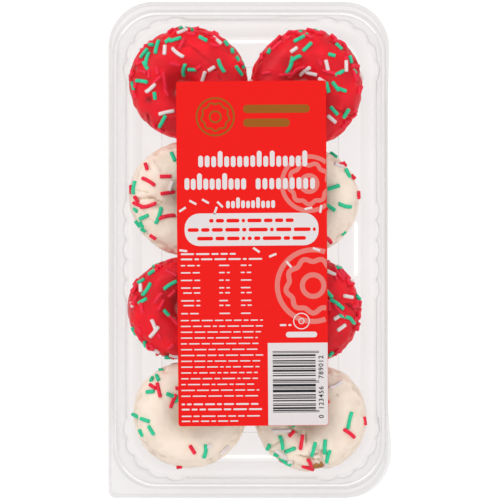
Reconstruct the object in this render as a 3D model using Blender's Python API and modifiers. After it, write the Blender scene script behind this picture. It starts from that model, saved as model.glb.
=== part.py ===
"""A clear hinged box of eight iced mini doughnuts with sprinkles, in two columns of four.

The box lies on its base with the lid shut. +Z is up and +Y runs along the box to its far end.
The lid is hinged on the long side at +X, and its lift tab is the corner at -X, -Y. Lengths are in
metres, with the origin in the middle of the surface that the box stands on.
"""

import math
import random
from collections import namedtuple

import bmesh
import bpy
from mathutils import Matrix, Vector
from mathutils.bvhtree import BVHTree

MM = 0.001
GAP = 0.3 * MM  # clearance between two pieces that touch

# Heights of the formed sheets. A tray height is on its upper face, and so is a lid height.
SHEET = 0.5 * MM
FLOOR_Z = SHEET
PANEL_Z = FLOOR_Z + 2.0 * MM
BEND_Z = 9.0 * MM
FLANGE_Z = 18.2 * MM
STEP_RISE = 2.8 * MM
LEDGE_Z = FLANGE_Z + STEP_RISE
LID_OVER_TRAY = SHEET + GAP
LID_TOP_Z = 35.2 * MM

# An outline of the box: how far its left, right, near and far sides lie from the middle, the
# radius of its corners, and that of the corner with the lift tab.
Outline = namedtuple("Outline", "left right near far radius tab")


def outline(left, right, near, far, radius, tab=None):
    return Outline(*(value * MM for value in (left, right, near, far, radius, tab or radius)))


def inset(shape, by):
    """The outline moved in by this much on every side, its corners tightened with it."""
    sides = (value - by for value in shape[:4])
    return Outline(*sides, max(shape.radius - by, 2 * MM), max(shape.tab - by, 2 * MM))


RIM = outline(65.5, 64.1, 115.1, 115.1, 21.0, 3.8)
RIM_FOLD = outline(64.2, 62.9, 113.1, 113.3, 20.0, 3.0)
LID_EDGE = outline(65.1, 64.1, 114.7, 114.7, 20.6, 3.4)
LID_STEP_FOOT = outline(63.5, 63.1, 110.6, 110.9, 20.5)
LID_STEP_TOP = outline(61.9, 61.3, 109.0, 109.3, 19.5)
STEP_NESTING = 0.5 * MM
WALL_LINE = outline(56.9, 58.5, 105.3, 106.1, 22.0)
PANEL_EDGE = outline(41.0, 41.5, 85.1, 85.1, 8.0)
PANEL_SLOPE = 1.6 * MM

# The tray's rim turns down outside a fold. Near the hinge it stays flat, and past the hinge's ends
# it dips further and swells outward.
RIM_DROP = 1.0 * MM
HINGE_CORNER_DROP = 1.6 * MM
HINGE_FLAT_HALF = 66 * MM
HINGE_HALF = 78 * MM
SWELL_NEAR = 1.4 * MM
SWELL_FAR = 0.7 * MM

# How the walls lean and turn, as insets from the wall line.
TRAY_WALL_DRAFT = 0.5 * MM
FLOOR_FILLET = 8.5 * MM
LID_WALL_DRAFT = 0.9 * MM
LID_EDGE_FILLET = 2.2 * MM
FLUTES_FADE_Z = 31.0 * MM

# Flutes: rounded lobes that stand out from the wall, in the middle of each long side and round
# each corner.
FLUTE_DEPTH = 1.3 * MM
FLUTE_FADED = 0.35
FLUTES_IN_GROUP = 5
FLUTE_STEPS = 4
SIDE_FLUTE_PITCH = 9.2 * MM
HALF_SIDE_FLUTES = FLUTES_IN_GROUP / 2 * SIDE_FLUTE_PITCH
CORNER_FLUTE_REACH = 0.15
PLAIN_CORNER_STEPS = 8

# Hinge: both flanges end at its axis, half way between their facing surfaces.
HINGE_X = 64.2 * MM
HINGE_Z = FLANGE_Z + GAP / 2

# Label on the lid
LABEL_SIZE = (69.1 * MM, 158.9 * MM)
LABEL_CENTRE = (1.2 * MM, -1.6 * MM)
LABEL_THICKNESS = 0.3 * MM
LABEL_CORNER = 1.2 * MM
LABEL_TURN = math.radians(0.43)

# Doughnuts: centre, half widths and height, where the hole lies from the centre, the icing's
# colour, the seed of its unevenness, and where its sprinkles fell, as groups of a direction from
# the centre, a half spread, both in degrees, and a count.
Doughnut = namedtuple("Doughnut", "x y half_x half_y height hole_x hole_y icing seed groups")
DOUGHNUTS = (
    Doughnut(-28.2, 77.1, 27.9, 26.0, 23.5, -2.1, -2.9, "red", 11,
             ((92, 38, 11), (160, 34, 11), (20, 24, 3), (245, 30, 2), (310, 30, 2))),
    Doughnut(26.4, 75.4, 26.3, 26.9, 23.0, -2.2, -1.4, "red", 12,
             ((105, 40, 12), (28, 36, 12), (-35, 18, 4), (210, 40, 2))),
    Doughnut(-28.9, 23.8, 27.2, 26.5, 22.5, 0.0, 0.5, "white", 13,
             ((150, 40, 10), (205, 36, 9), (60, 40, 4), (320, 40, 3))),
    Doughnut(24.7, 23.2, 25.9, 25.2, 22.5, 1.0, 0.0, "white", 14,
             ((60, 38, 13), (5, 26, 5), (-50, 30, 3), (180, 50, 4))),
    Doughnut(-29.5, -27.2, 27.1, 24.1, 23.0, 0.5, 0.0, "red", 15,
             ((165, 34, 9), (220, 36, 10), (100, 24, 3), (0, 60, 4))),
    Doughnut(26.0, -27.6, 25.8, 24.8, 23.5, -0.5, 0.0, "red", 16,
             ((45, 36, 12), (0, 30, 7), (-60, 30, 2), (180, 60, 4))),
    Doughnut(-27.8, -76.3, 26.6, 24.7, 22.5, -0.8, -0.5, "white", 17,
             ((125, 34, 8), (190, 26, 3), (280, 40, 4), (20, 50, 4))),
    Doughnut(28.4, -77.6, 26.1, 25.3, 23.0, -2.5, 0.8, "white", 18,
             ((235, 38, 12), (285, 26, 4), (-15, 30, 3), (100, 50, 4))),
)
HOLE_RADIUS = 4.2 * MM
BULGE_HEIGHT = 0.45  # the widest level, as a share of the height
# Powers of the section's curves: 2 gives a circle, and more fills it out.
ROUND_TOP = 2.1
ROUND_SIDES = 2.2
FULL_BOTTOM = 2.7
FLAT_BELOW = 0.87  # the share of the lower part's depth at which the underside is flat
ICING_THICKNESS = 0.9 * MM
CAKE_SHRINK = ICING_THICKNESS + GAP
UNEVENNESS = 0.02
OUTLINE_WAVES = (2, 3, 5)
WAVES_LOWERED = 0.4
TILT = 0.03
STEPS_AROUND = 18

# Levels round a doughnut's section, in degrees from its outer side over the top to its hole.
ICING_OUTSIDE = (-5, 14, 38, 64, 92, 122, 152, 182)
ICING_INSIDE = (177, 140, 90, 42, 2)
CAKE_UNDERSIDE = (335, 302, 238, 205)
CAKE_UNDERSIDE_SHRINK = 0.7 * MM

# Sprinkles
SPRINKLE_RADIUS = 0.9 * MM
SPRINKLE_LENGTHS = (3.6 * MM, 8.4 * MM)
SPRINKLE_LEVELS = (32, 128)
SPRINKLE_SPACING = 2.6 * MM
SPREAD_TO_SIGMA = 0.6
SPRINKLE_RAISED = 0.3 * MM
SPRINKLE_SIDES = 5
SPRINKLES_MODELLED = 11
EDGE_MARGIN = 0.4 * MM
PROBE_HEIGHT = 4 * MM  # how far above a sprinkle's ends the surface under them is looked for

COLLECTION_NAME = "doughnut_box"
SHARP_ANGLE = math.radians(35)


def material(name, colour, roughness, alpha=1.0):
    made = bpy.data.materials.new(name)
    made.use_nodes = True
    shader = made.node_tree.nodes["Principled BSDF"]
    shader.inputs["Base Color"].default_value = (*colour, 1)
    shader.inputs["Roughness"].default_value = roughness
    shader.inputs["Metallic"].default_value = 0
    shader.inputs["Alpha"].default_value = alpha
    return made


def mesh_object(name, bm, collection, surface):
    bmesh.ops.recalc_face_normals(bm, faces=bm.faces)
    mesh = bpy.data.meshes.new(name)
    bm.to_mesh(mesh)
    bm.free()
    mesh.materials.append(surface)
    mesh.shade_smooth()
    mesh.set_sharp_from_angle(angle=SHARP_ANGLE)
    made = bpy.data.objects.new(name, mesh)
    collection.objects.link(made)
    return made


# Outlines of the box. A station is a place on a quarter of any outline. On a long side it is a
# distance from the middle, and at a corner it is a share of the arc, below 0 before it and over 1
# past it. Its lobe is 0 at a cusp between flutes and 1 at a crest.
Station = namedtuple("Station", "on_side place lobe")


def lobe_at(step):
    across = (step % FLUTE_STEPS) / FLUTE_STEPS - 0.5
    return 1 - 4 * across * across


def fluted_quarter():
    stations = []
    half_group = FLUTES_IN_GROUP * FLUTE_STEPS // 2
    for step in range(half_group + 1):
        along = step * SIDE_FLUTE_PITCH / FLUTE_STEPS
        stations.append(Station(True, along, lobe_at(step + FLUTE_STEPS // 2)))
    whole_group = FLUTES_IN_GROUP * FLUTE_STEPS
    for step in range(whole_group + 1):
        share = step / whole_group * (1 + 2 * CORNER_FLUTE_REACH) - CORNER_FLUTE_REACH
        stations.append(Station(False, share, lobe_at(step)))
    return stations


def plain_quarter(*on_side):
    stations = [Station(True, along, 0) for along in on_side]
    for step in range(PLAIN_CORNER_STEPS + 1):
        stations.append(Station(False, step / PLAIN_CORNER_STEPS, 0))
    return stations


def station_point(shape, station, right, far, flute):
    """Where a station of this quarter lies, with its lobe standing out by flute."""
    half_x = shape.right if right else shape.left
    half_y = shape.far if far else shape.near
    radius = shape.tab if not right and not far else shape.radius
    arc = math.pi / 2 * radius
    if station.on_side:
        x, y, turn = half_x, station.place, 0
    else:
        turn = math.pi / 2 * min(max(station.place, 0), 1)
        x = half_x - radius + radius * math.cos(turn) - max(station.place - 1, 0) * arc
        y = half_y - radius + radius * math.sin(turn) + min(station.place, 0) * arc
    x += math.cos(turn) * station.lobe * flute
    y += math.sin(turn) * station.lobe * flute
    return Vector((x if right else -x, y if far else -y, 0))


SIDE_KEY = 4.5  # a metre along the side counts this much of a quarter
Loop = namedtuple("Loop", "keys points")


def loop(shape, z, stations, flute=0):
    """A closed outline at height z, counter-clockwise, with a key that orders its points."""
    keys, points = [], []
    for quarter in range(4):
        right, far = quarter in (0, 3), quarter in (0, 1)
        forward = quarter in (0, 2)
        for station in stations if forward else reversed(stations):
            at_middle = station.on_side and station.place == 0
            if at_middle and quarter in (2, 3):
                continue
            share = SIDE_KEY * station.place if station.on_side else 0.5 + 0.4 * station.place
            keys.append(quarter + share if forward else quarter + 1 - share)
            points.append(station_point(shape, station, right, far, flute) + Vector((0, 0, z)))
    return Loop(keys, points)


def join_loops(bm, outer, inner, outer_verts, inner_verts):
    """Faces between two loops of unlike counts: each step advances the one whose next key is less."""
    at_outer, at_inner = 0, 0
    count_outer, count_inner = len(outer_verts), len(inner_verts)
    outer_keys = outer.keys + [outer.keys[0] + 4]
    inner_keys = inner.keys + [inner.keys[0] + 4]
    while at_outer < count_outer or at_inner < count_inner:
        next_outer = outer_keys[at_outer + 1] if at_outer < count_outer else math.inf
        next_inner = inner_keys[at_inner + 1] if at_inner < count_inner else math.inf
        corners = [outer_verts[at_outer % count_outer]]
        if next_outer <= next_inner:
            at_outer += 1
            corners.append(outer_verts[at_outer % count_outer])
        corners_inner = [inner_verts[at_inner % count_inner]]
        if next_inner <= next_outer:
            at_inner += 1
            corners_inner.insert(0, inner_verts[at_inner % count_inner])
        bm.faces.new(corners + corners_inner)


def fill_level(bm, outer_verts, inner_verts):
    """Triangles between two loops at one height, one of them with lobes that reach toward the other."""
    edges = []
    for ring in (outer_verts, inner_verts):
        for ends in zip(ring, ring[1:] + ring[:1]):
            edges.append(bm.edges.get(ends) or bm.edges.new(ends))
    bmesh.ops.triangle_fill(bm, edges=edges, use_beauty=True, normal=(0, 0, 1))


def formed_sheet(name, loops, collection, surface):
    """A sheet whose upper face runs through the loops, from its edge to a flat middle."""
    bm = bmesh.new()
    rows = [[bm.verts.new(point) for point in one.points] for one in loops]
    for (outer, inner), (outer_verts, inner_verts) in zip(
        zip(loops, loops[1:]), zip(rows, rows[1:])
    ):
        if outer.points[0].z == inner.points[0].z:
            fill_level(bm, outer_verts, inner_verts)
        else:
            join_loops(bm, outer, inner, outer_verts, inner_verts)
    bm.faces.new(rows[-1])
    made = mesh_object(name, bm, collection, surface)
    if made.data.polygons[-1].normal.z < 0:
        made.data.flip_normals()
    sheet = made.modifiers.new("Sheet", "SOLIDIFY")
    sheet.thickness = SHEET
    sheet.offset = -1
    sheet.solidify_mode = "NON_MANIFOLD"
    sheet.nonmanifold_thickness_mode = "CONSTRAINTS"
    return made


def rim_loop():
    """The tray's outer edge, turned down except at the hinge and swollen past the hinge's ends."""
    plain = loop(RIM, FLANGE_Z, plain_quarter(HINGE_FLAT_HALF, HINGE_HALF))
    for point in plain.points:
        along = abs(point.y)
        if point.x < RIM.right - RIM.radius:
            point.z -= RIM_DROP
        elif along > HINGE_HALF + MM:
            point.x += SWELL_FAR if point.y > 0 else SWELL_NEAR
            point.z -= HINGE_CORNER_DROP
        elif along > HINGE_FLAT_HALF + MM:
            point.z -= RIM_DROP
    return plain


def make_tray(collection, surface):
    plain, fluted = plain_quarter(), fluted_quarter()
    by_flutes = plain_quarter(HALF_SIDE_FLUTES / 2, HALF_SIDE_FLUTES)
    lower_wall = inset(WALL_LINE, TRAY_WALL_DRAFT)
    diagonal = math.sqrt(0.5)
    fillet_middle = inset(lower_wall, FLOOR_FILLET * (1 - diagonal))
    fillet_middle_z = BEND_Z - (BEND_Z - FLOOR_Z) * diagonal
    loops = (
        rim_loop(),
        loop(RIM_FOLD, FLANGE_Z, plain_quarter(HINGE_FLAT_HALF, HINGE_HALF)),
        loop(inset(LID_STEP_FOOT, STEP_NESTING), FLANGE_Z, plain),
        loop(inset(LID_STEP_TOP, STEP_NESTING), LEDGE_Z, by_flutes),
        loop(WALL_LINE, LEDGE_Z, fluted, FLUTE_DEPTH),
        loop(lower_wall, BEND_Z, fluted, FLUTE_DEPTH * FLUTE_FADED),
        loop(fillet_middle, fillet_middle_z, by_flutes),
        loop(inset(lower_wall, FLOOR_FILLET), FLOOR_Z, plain),
        loop(inset(PANEL_EDGE, -PANEL_SLOPE), FLOOR_Z, plain),
        loop(PANEL_EDGE, PANEL_Z, plain),
    )
    return formed_sheet("tray", loops, collection, surface)


def make_lid(collection, surface):
    plain, fluted = plain_quarter(), fluted_quarter()
    by_flutes = plain_quarter(HALF_SIDE_FLUTES / 2, HALF_SIDE_FLUTES)
    upper_wall = inset(WALL_LINE, LID_WALL_DRAFT)
    flange_z = FLANGE_Z + LID_OVER_TRAY
    ledge_z = LEDGE_Z + LID_OVER_TRAY
    turn = math.radians(45)
    loops = (
        loop(LID_EDGE, flange_z, plain),
        loop(LID_STEP_FOOT, flange_z, plain),
        loop(LID_STEP_TOP, ledge_z, by_flutes),
        loop(WALL_LINE, ledge_z, fluted, FLUTE_DEPTH),
        loop(upper_wall, FLUTES_FADE_Z, fluted, FLUTE_DEPTH * FLUTE_FADED),
        loop(upper_wall, LID_TOP_Z - LID_EDGE_FILLET, by_flutes),
        loop(
            inset(upper_wall, LID_EDGE_FILLET * (1 - math.cos(turn))),
            LID_TOP_Z - LID_EDGE_FILLET * (1 - math.sin(turn)),
            plain,
        ),
        loop(inset(upper_wall, LID_EDGE_FILLET), LID_TOP_Z, plain),
    )
    return formed_sheet("lid", loops, collection, surface)


def make_label(collection, surface):
    """A flat outline with rounded corners, extruded, on the middle of the lid's top."""
    corners = []
    corner_steps = 4
    half_x, half_y = (size / 2 - LABEL_CORNER for size in LABEL_SIZE)
    for quarter, (side_x, side_y) in enumerate(((1, 1), (-1, 1), (-1, -1), (1, -1))):
        for step in range(corner_steps + 1):
            turn = math.pi / 2 * (quarter + step / corner_steps)
            x = side_x * half_x + LABEL_CORNER * math.cos(turn)
            y = side_y * half_y + LABEL_CORNER * math.sin(turn)
            corners.append((x, y))
    curve = bpy.data.curves.new("label", "CURVE")
    curve.dimensions = "2D"
    curve.fill_mode = "BOTH"
    curve.extrude = LABEL_THICKNESS / 2
    edge = curve.splines.new("POLY")
    edge.use_cyclic_u = True
    edge.points.add(len(corners) - 1)
    for point, (x, y) in zip(edge.points, corners):
        point.co = (x, y, 0, 1)
    curve.materials.append(surface)
    made = bpy.data.objects.new("label", curve)
    collection.objects.link(made)
    made.location = (*LABEL_CENTRE, LID_TOP_Z + GAP + LABEL_THICKNESS / 2)
    made.rotation_euler.z = LABEL_TURN
    return made


def hang_on_hinge(hinge, pieces):
    """Parents the pieces to the hinge, and puts the origin of each mesh on its axis."""
    for piece in pieces:
        if piece.type == "MESH":
            piece.data.transform(Matrix.Translation(-hinge.location))
        else:
            piece.location -= hinge.location
        piece.parent = hinge


# Doughnuts
def rounded(value, power):
    """A cosine or sine with its curve filled out, as on a superellipse."""
    return math.copysign(abs(value) ** (2 / power), value)


def outline_share(doughnut, turn):
    """How far the uneven outline reaches in this direction, as a share of the even one."""
    draw = random.Random(doughnut.seed)
    waves = sum(
        math.cos(order * turn + draw.uniform(0, 2 * math.pi)) / order for order in OUTLINE_WAVES
    )
    return 1 + UNEVENNESS * (waves - WAVES_LOWERED)


def section_point(doughnut, turn, level, shrink):
    """A point on the doughnut's section at this turn round the hole, moved in by shrink."""
    centre = Vector((doughnut.x, doughnut.y)) * MM
    hole = centre + Vector((doughnut.hole_x, doughnut.hole_y)) * MM
    direction = Vector((math.cos(turn), math.sin(turn)))
    reach = outline_share(doughnut, turn) * MM
    outer = centre + Vector((doughnut.half_x * direction.x, doughnut.half_y * direction.y)) * reach
    inner = hole + direction * HOLE_RADIUS
    middle, half = (outer + inner) / 2, (outer - inner) / 2
    angle = math.radians(level)
    flat = middle + half * rounded(math.cos(angle), ROUND_SIDES)
    flat -= half.normalized() * shrink * math.cos(angle)
    height = doughnut.height * MM * (1 + TILT * math.cos(turn - doughnut.seed))
    if math.sin(angle) > 0:
        rise = height * (1 - BULGE_HEIGHT) * rounded(math.sin(angle), ROUND_TOP)
        rise -= shrink * math.sin(angle)
    else:
        rise = height * BULGE_HEIGHT * rounded(math.sin(angle), FULL_BOTTOM) / FLAT_BELOW
    z = max(height * BULGE_HEIGHT + rise, 0)
    return Vector((*flat, PANEL_Z + GAP + z))


def make_ring(name, doughnut, section, collection, surface):
    """A closed ring through a section given as (level, shrink) pairs."""
    bm = bmesh.new()
    rows = []
    for step in range(STEPS_AROUND):
        turn = 2 * math.pi * step / STEPS_AROUND
        points = (section_point(doughnut, turn, level, shrink) for level, shrink in section)
        rows.append([bm.verts.new(point) for point in points])
    count = len(section)
    for row, after in zip(rows, rows[1:] + rows[:1]):
        for i in range(count):
            j = (i + 1) % count
            bm.faces.new((row[i], after[i], after[j], row[j]))
    bmesh.ops.triangulate(bm, faces=bm.faces, quad_method="FIXED")
    return mesh_object(name, bm, collection, surface)


def make_cake(name, doughnut, collection, surface):
    """The cake's upper face runs side by side with the icing's inside, split into like triangles."""
    section = [(level, CAKE_SHRINK) for level in ICING_INSIDE]
    section += [(level, CAKE_UNDERSIDE_SHRINK) for level in CAKE_UNDERSIDE]
    return make_ring(name, doughnut, section, collection, surface)


def make_icing(name, doughnut, collection, surface):
    section = [(level, 0) for level in ICING_OUTSIDE]
    section += [(level, ICING_THICKNESS) for level in ICING_INSIDE]
    return make_ring(name, doughnut, section, collection, surface)


def sprinkle_rule(doughnut):
    """Where the sprinkles fell: a point over the icing, a heading and a length, longest first."""
    draw = random.Random(doughnut.seed * 100)
    fallen = []
    for direction, spread, count in doughnut.groups:
        for _ in range(count):
            turn = math.radians(direction + draw.gauss(0, spread * SPREAD_TO_SIGMA))
            point = section_point(doughnut, turn, draw.uniform(*SPRINKLE_LEVELS), 0)
            heading = draw.uniform(0, math.pi)
            length = draw.uniform(*SPRINKLE_LENGTHS)
            if all((point - other[0]).length > SPRINKLE_SPACING for other in fallen):
                fallen.append((point, heading, length))
    return sorted(fallen, key=lambda sprinkle: -sprinkle[2])


def over_icing(doughnut, point):
    """True if a point, seen from above, lies inside the doughnut's outline and off its hole."""
    away = Vector((point.x, point.y)) - Vector((doughnut.x, doughnut.y)) * MM
    turn = math.atan2(away.y / doughnut.half_y, away.x / doughnut.half_x)
    edge = Vector((doughnut.half_x * math.cos(turn), doughnut.half_y * math.sin(turn)))
    reach = edge.length * MM * outline_share(doughnut, turn) - EDGE_MARGIN
    from_hole = away - Vector((doughnut.hole_x, doughnut.hole_y)) * MM
    return away.length < reach and from_hole.length > HOLE_RADIUS + EDGE_MARGIN


def lie_on(surface, point, heading, length):
    """A frame on the surface nearest to the point: its X along the heading, its Z outward.

    Over a hollow it is lifted, so that the sprinkle bears on its two ends.
    """
    place, normal, _, _ = surface.find_nearest(point)
    along = Vector((math.cos(heading), math.sin(heading), 0))
    along = (along - normal * along.dot(normal)).normalized()
    sunk = 0
    for end in (place + along * length / 2, place - along * length / 2):
        depth = surface.ray_cast(end + normal * PROBE_HEIGHT, -normal)[3]
        if depth is not None:
            sunk = max(sunk, PROBE_HEIGHT - depth)
    frame = Matrix((along, normal.cross(along), normal)).transposed().to_4x4()
    frame.translation = place + normal * (sunk + SPRINKLE_RAISED)
    return frame


def make_sprinkle(frame, length, collection):
    bm = bmesh.new()
    bmesh.ops.create_cone(
        bm,
        cap_ends=True,
        segments=SPRINKLE_SIDES,
        radius1=SPRINKLE_RADIUS,
        radius2=SPRINKLE_RADIUS,
        depth=length,
        matrix=frame @ Matrix.Rotation(math.pi / 2, 4, "Y"),
    )
    mesh = bpy.data.meshes.new("sprinkle")
    bm.to_mesh(mesh)
    bm.free()
    collection.objects.link(bpy.data.objects.new("sprinkle", mesh))


def evaluated_mesh(made):
    graph = bpy.context.evaluated_depsgraph_get()
    return bpy.data.meshes.new_from_object(made.evaluated_get(graph))


def fuse_sprinkles(icing, doughnut):
    """Joins the longest sprinkles to the icing that they lie on."""
    icing_surface = BVHTree.FromPolygons(
        [vertex.co for vertex in icing.data.vertices],
        [polygon.vertices for polygon in icing.data.polygons],
    )
    loose = bpy.data.collections.new("sprinkles")
    bpy.context.scene.collection.children.link(loose)
    for point, heading, length in sprinkle_rule(doughnut):
        frame = lie_on(icing_surface, point, heading, length)
        half = frame.to_3x3() @ Vector((length / 2 + SPRINKLE_RADIUS, 0, 0))
        ends = (frame.translation + half, frame.translation - half)
        if all(over_icing(doughnut, end) for end in ends):
            make_sprinkle(frame, length, loose)
        if len(loose.objects) == SPRINKLES_MODELLED:
            break
    union = icing.modifiers.new("Sprinkles", "BOOLEAN")
    union.operation = "UNION"
    union.operand_type = "COLLECTION"
    union.collection = loose
    union.solver = "MANIFOLD"
    fused = evaluated_mesh(icing)
    icing.modifiers.clear()
    icing.data = fused
    for sprinkle in list(loose.objects):
        bpy.data.objects.remove(sprinkle)
    bpy.data.collections.remove(loose)


def build():
    for existing in list(bpy.data.objects):
        bpy.data.objects.remove(existing)
    collection = bpy.data.collections.new(COLLECTION_NAME)
    bpy.context.scene.collection.children.link(collection)

    clear = material("clear_plastic", (0.86, 0.85, 0.85), 0.08, alpha=0.25)
    print_red = material("label_red", (0.90, 0.03, 0.025), 0.35)
    cake = material("cake_crust", (0.60, 0.32, 0.10), 0.75)
    icings = {
        "red": material("red_icing", (0.72, 0.015, 0.03), 0.35),
        "white": material("white_icing", (0.86, 0.76, 0.62), 0.35),
    }

    make_tray(collection, clear)
    hinge = bpy.data.objects.new("lid_hinge", None)
    hinge.location = (HINGE_X, 0, HINGE_Z)
    collection.objects.link(hinge)
    lid = make_lid(collection, clear)
    label = make_label(collection, print_red)
    hang_on_hinge(hinge, (lid, label))
    for number, doughnut in enumerate(DOUGHNUTS, 1):
        make_cake(f"doughnut_{number}_cake", doughnut, collection, cake)
        surface = icings[doughnut.icing]
        icing = make_icing(f"doughnut_{number}_icing", doughnut, collection, surface)
        fuse_sprinkles(icing, doughnut)


build()
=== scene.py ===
"""The dressed scene of a clear hinged box of eight iced mini doughnuts with a red printed label.

It lies on a pale floor and is seen from straight above. The sheets and the doughnuts follow the
same outlines as the model's solids, with finer steps. Lengths are in metres.
"""

import math
import random
from collections import namedtuple

import bmesh
import bpy
from mathutils import Matrix, Vector, noise
from mathutils.bvhtree import BVHTree


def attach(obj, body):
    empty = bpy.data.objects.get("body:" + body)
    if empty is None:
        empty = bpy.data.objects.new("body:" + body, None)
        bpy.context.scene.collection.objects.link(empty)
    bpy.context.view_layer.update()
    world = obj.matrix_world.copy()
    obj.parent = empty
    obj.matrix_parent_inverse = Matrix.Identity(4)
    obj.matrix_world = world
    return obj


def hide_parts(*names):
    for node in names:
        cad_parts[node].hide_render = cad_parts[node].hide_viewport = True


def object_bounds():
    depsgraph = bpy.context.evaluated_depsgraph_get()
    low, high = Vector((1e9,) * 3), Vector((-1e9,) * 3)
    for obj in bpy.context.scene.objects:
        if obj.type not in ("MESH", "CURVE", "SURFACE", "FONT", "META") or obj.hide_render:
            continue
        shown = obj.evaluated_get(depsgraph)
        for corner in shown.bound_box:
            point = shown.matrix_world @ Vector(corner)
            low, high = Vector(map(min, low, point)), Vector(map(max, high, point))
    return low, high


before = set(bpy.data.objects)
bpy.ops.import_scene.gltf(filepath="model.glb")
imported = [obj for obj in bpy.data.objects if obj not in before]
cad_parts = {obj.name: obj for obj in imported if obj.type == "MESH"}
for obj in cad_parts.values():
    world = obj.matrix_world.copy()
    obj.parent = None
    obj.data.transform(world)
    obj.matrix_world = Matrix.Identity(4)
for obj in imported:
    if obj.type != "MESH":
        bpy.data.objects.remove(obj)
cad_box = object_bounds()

MM = 0.001
BASE, LID = "box_base", "box_lid"

# The camera looks straight down from far above. One of the photograph's pixels is PIXEL wide at
# the middle of the box's height, and BOX_MIDDLE is the place of the box's middle in pixels.
PIXEL = 0.4625 * MM
IMAGE_PIXELS = 500
BOX_MIDDLE = (249.6, 249.9)
CAMERA_Z = 3.0
CAMERA_AIM = (0.4 * PIXEL, -0.1 * PIXEL)
MIDDLE_Z = 24 * MM
SENSOR = 36.0
VIEW_DEPTH = 20

# Heights of the formed sheets, on the upper face of each
SHEET = 0.5 * MM
GAP = 0.3 * MM
FLOOR_Z = SHEET
PANEL_Z = FLOOR_Z + 2.0 * MM
BEND_Z = 9.0 * MM
FLANGE_Z = 18.2 * MM
LEDGE_Z = 21.0 * MM
LID_OVER_TRAY = SHEET + GAP
LID_TOP_Z = 35.2 * MM
LABEL_TOP_Z = 35.8 * MM

SMALLEST_RADIUS = 2 * MM
# Less than any step of a mesh
TINY = 1e-6

Outline = namedtuple("Outline", "left right near far radius tab")


def outline(left, right, near, far, radius, tab=None):
    return Outline(*(value * MM for value in (left, right, near, far, radius, tab or radius)))


def inset(shape, by):
    sides = (value - by for value in shape[:4])
    radii = (max(radius - by, SMALLEST_RADIUS) for radius in (shape.radius, shape.tab))
    return Outline(*sides, *radii)


# Outlines: left, right, near, far, corner radius and, where it differs, the radius at the lift tab
RIM = outline(65.5, 64.1, 115.1, 115.1, 21.0, 3.8)
RIM_FOLD = outline(64.2, 62.9, 113.1, 113.3, 20.0, 3.0)
LID_EDGE = outline(65.1, 64.1, 114.7, 114.7, 20.6, 3.4)
LID_STEP_FOOT = outline(63.5, 63.1, 110.6, 110.9, 20.5)
LID_STEP_TOP = outline(61.9, 61.3, 109.0, 109.3, 19.5)
STEP_NESTING = 0.5 * MM
WALL_LINE = outline(56.9, 58.5, 105.3, 106.1, 22.0)
PANEL_EDGE = outline(41.0, 41.5, 85.1, 85.1, 8.0)
PANEL_SLOPE = 1.6 * MM
PANEL_FLAT_INSET = 2 * MM
RIM_DROP = 1.0 * MM
HINGE_CORNER_DROP = 1.6 * MM
HINGE_FLAT_HALF = 66 * MM
HINGE_HALF = 78 * MM
SWELL_FROM = HINGE_HALF - 2 * MM
SWELL_FULL = HINGE_HALF + 8 * MM
SWELL_NEAR = 1.4 * MM
SWELL_FAR = 0.7 * MM
TRAY_WALL_DRAFT = 0.5 * MM
FLOOR_FILLET = 8.5 * MM
LID_WALL_DRAFT = 0.9 * MM
LID_EDGE_FILLET = 2.2 * MM
FLUTES_FADE_Z = 31.0 * MM
FLUTE_DEPTH = 1.3 * MM
FLUTE_FADED = 0.35
FLUTES_IN_GROUP = 5
FLUTE_STEPS = 10
SIDE_FLUTE_PITCH = 9.2 * MM
CORNER_FLUTE_REACH = 0.15
SIDE_STEPS = 8
LAST_SIDE_STATION = 78 * MM
FILLET_STEPS = 6
FLUTE_END_STEPS = 3
# How far each bend is rounded, from its corner
TRAY_BEND = 0.3 * MM
FOOT_BEND = 0.7 * MM
PANEL_FOOT_BEND = 0.5 * MM
LID_STEP_FOOT_BEND = 0.4 * MM
LID_STEP_TOP_BEND = 0.18 * MM
LID_WALL_FOOT_BEND = 0.35 * MM
FLUTES_FADE_BEND = 1.5 * MM
MOST_OF_BAND = 0.45
BEND_STEPS = 3
# Looks of the sheet: clear, faintly hazy where it curves, hazy on the flanges, greyer in the rim as
# painted shade, and in its finest bends grey as painted shade or bright as a glowing painted
# highlight
CLEAR, FAINT, HAZY, GREYER, SHADED, PAINTED_HIGHLIGHT = range(6)
# Where the bends glow as painted highlights
HIGHLIGHT_STEP_FROM = 100 * MM
HIGHLIGHT_FOOT_FROM = 85 * MM
HIGHLIGHT_FOOT_MIDDLE = 12 * MM
# A row of the sheet, from its rim inward: its loop, the look of the band that leads to it, how far
# its bend is rounded, and the look of that bend, or a function that gives it for each point
Row = namedtuple("Row", "loop band reach bend", defaults=(CLEAR, 0, CLEAR))

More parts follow.
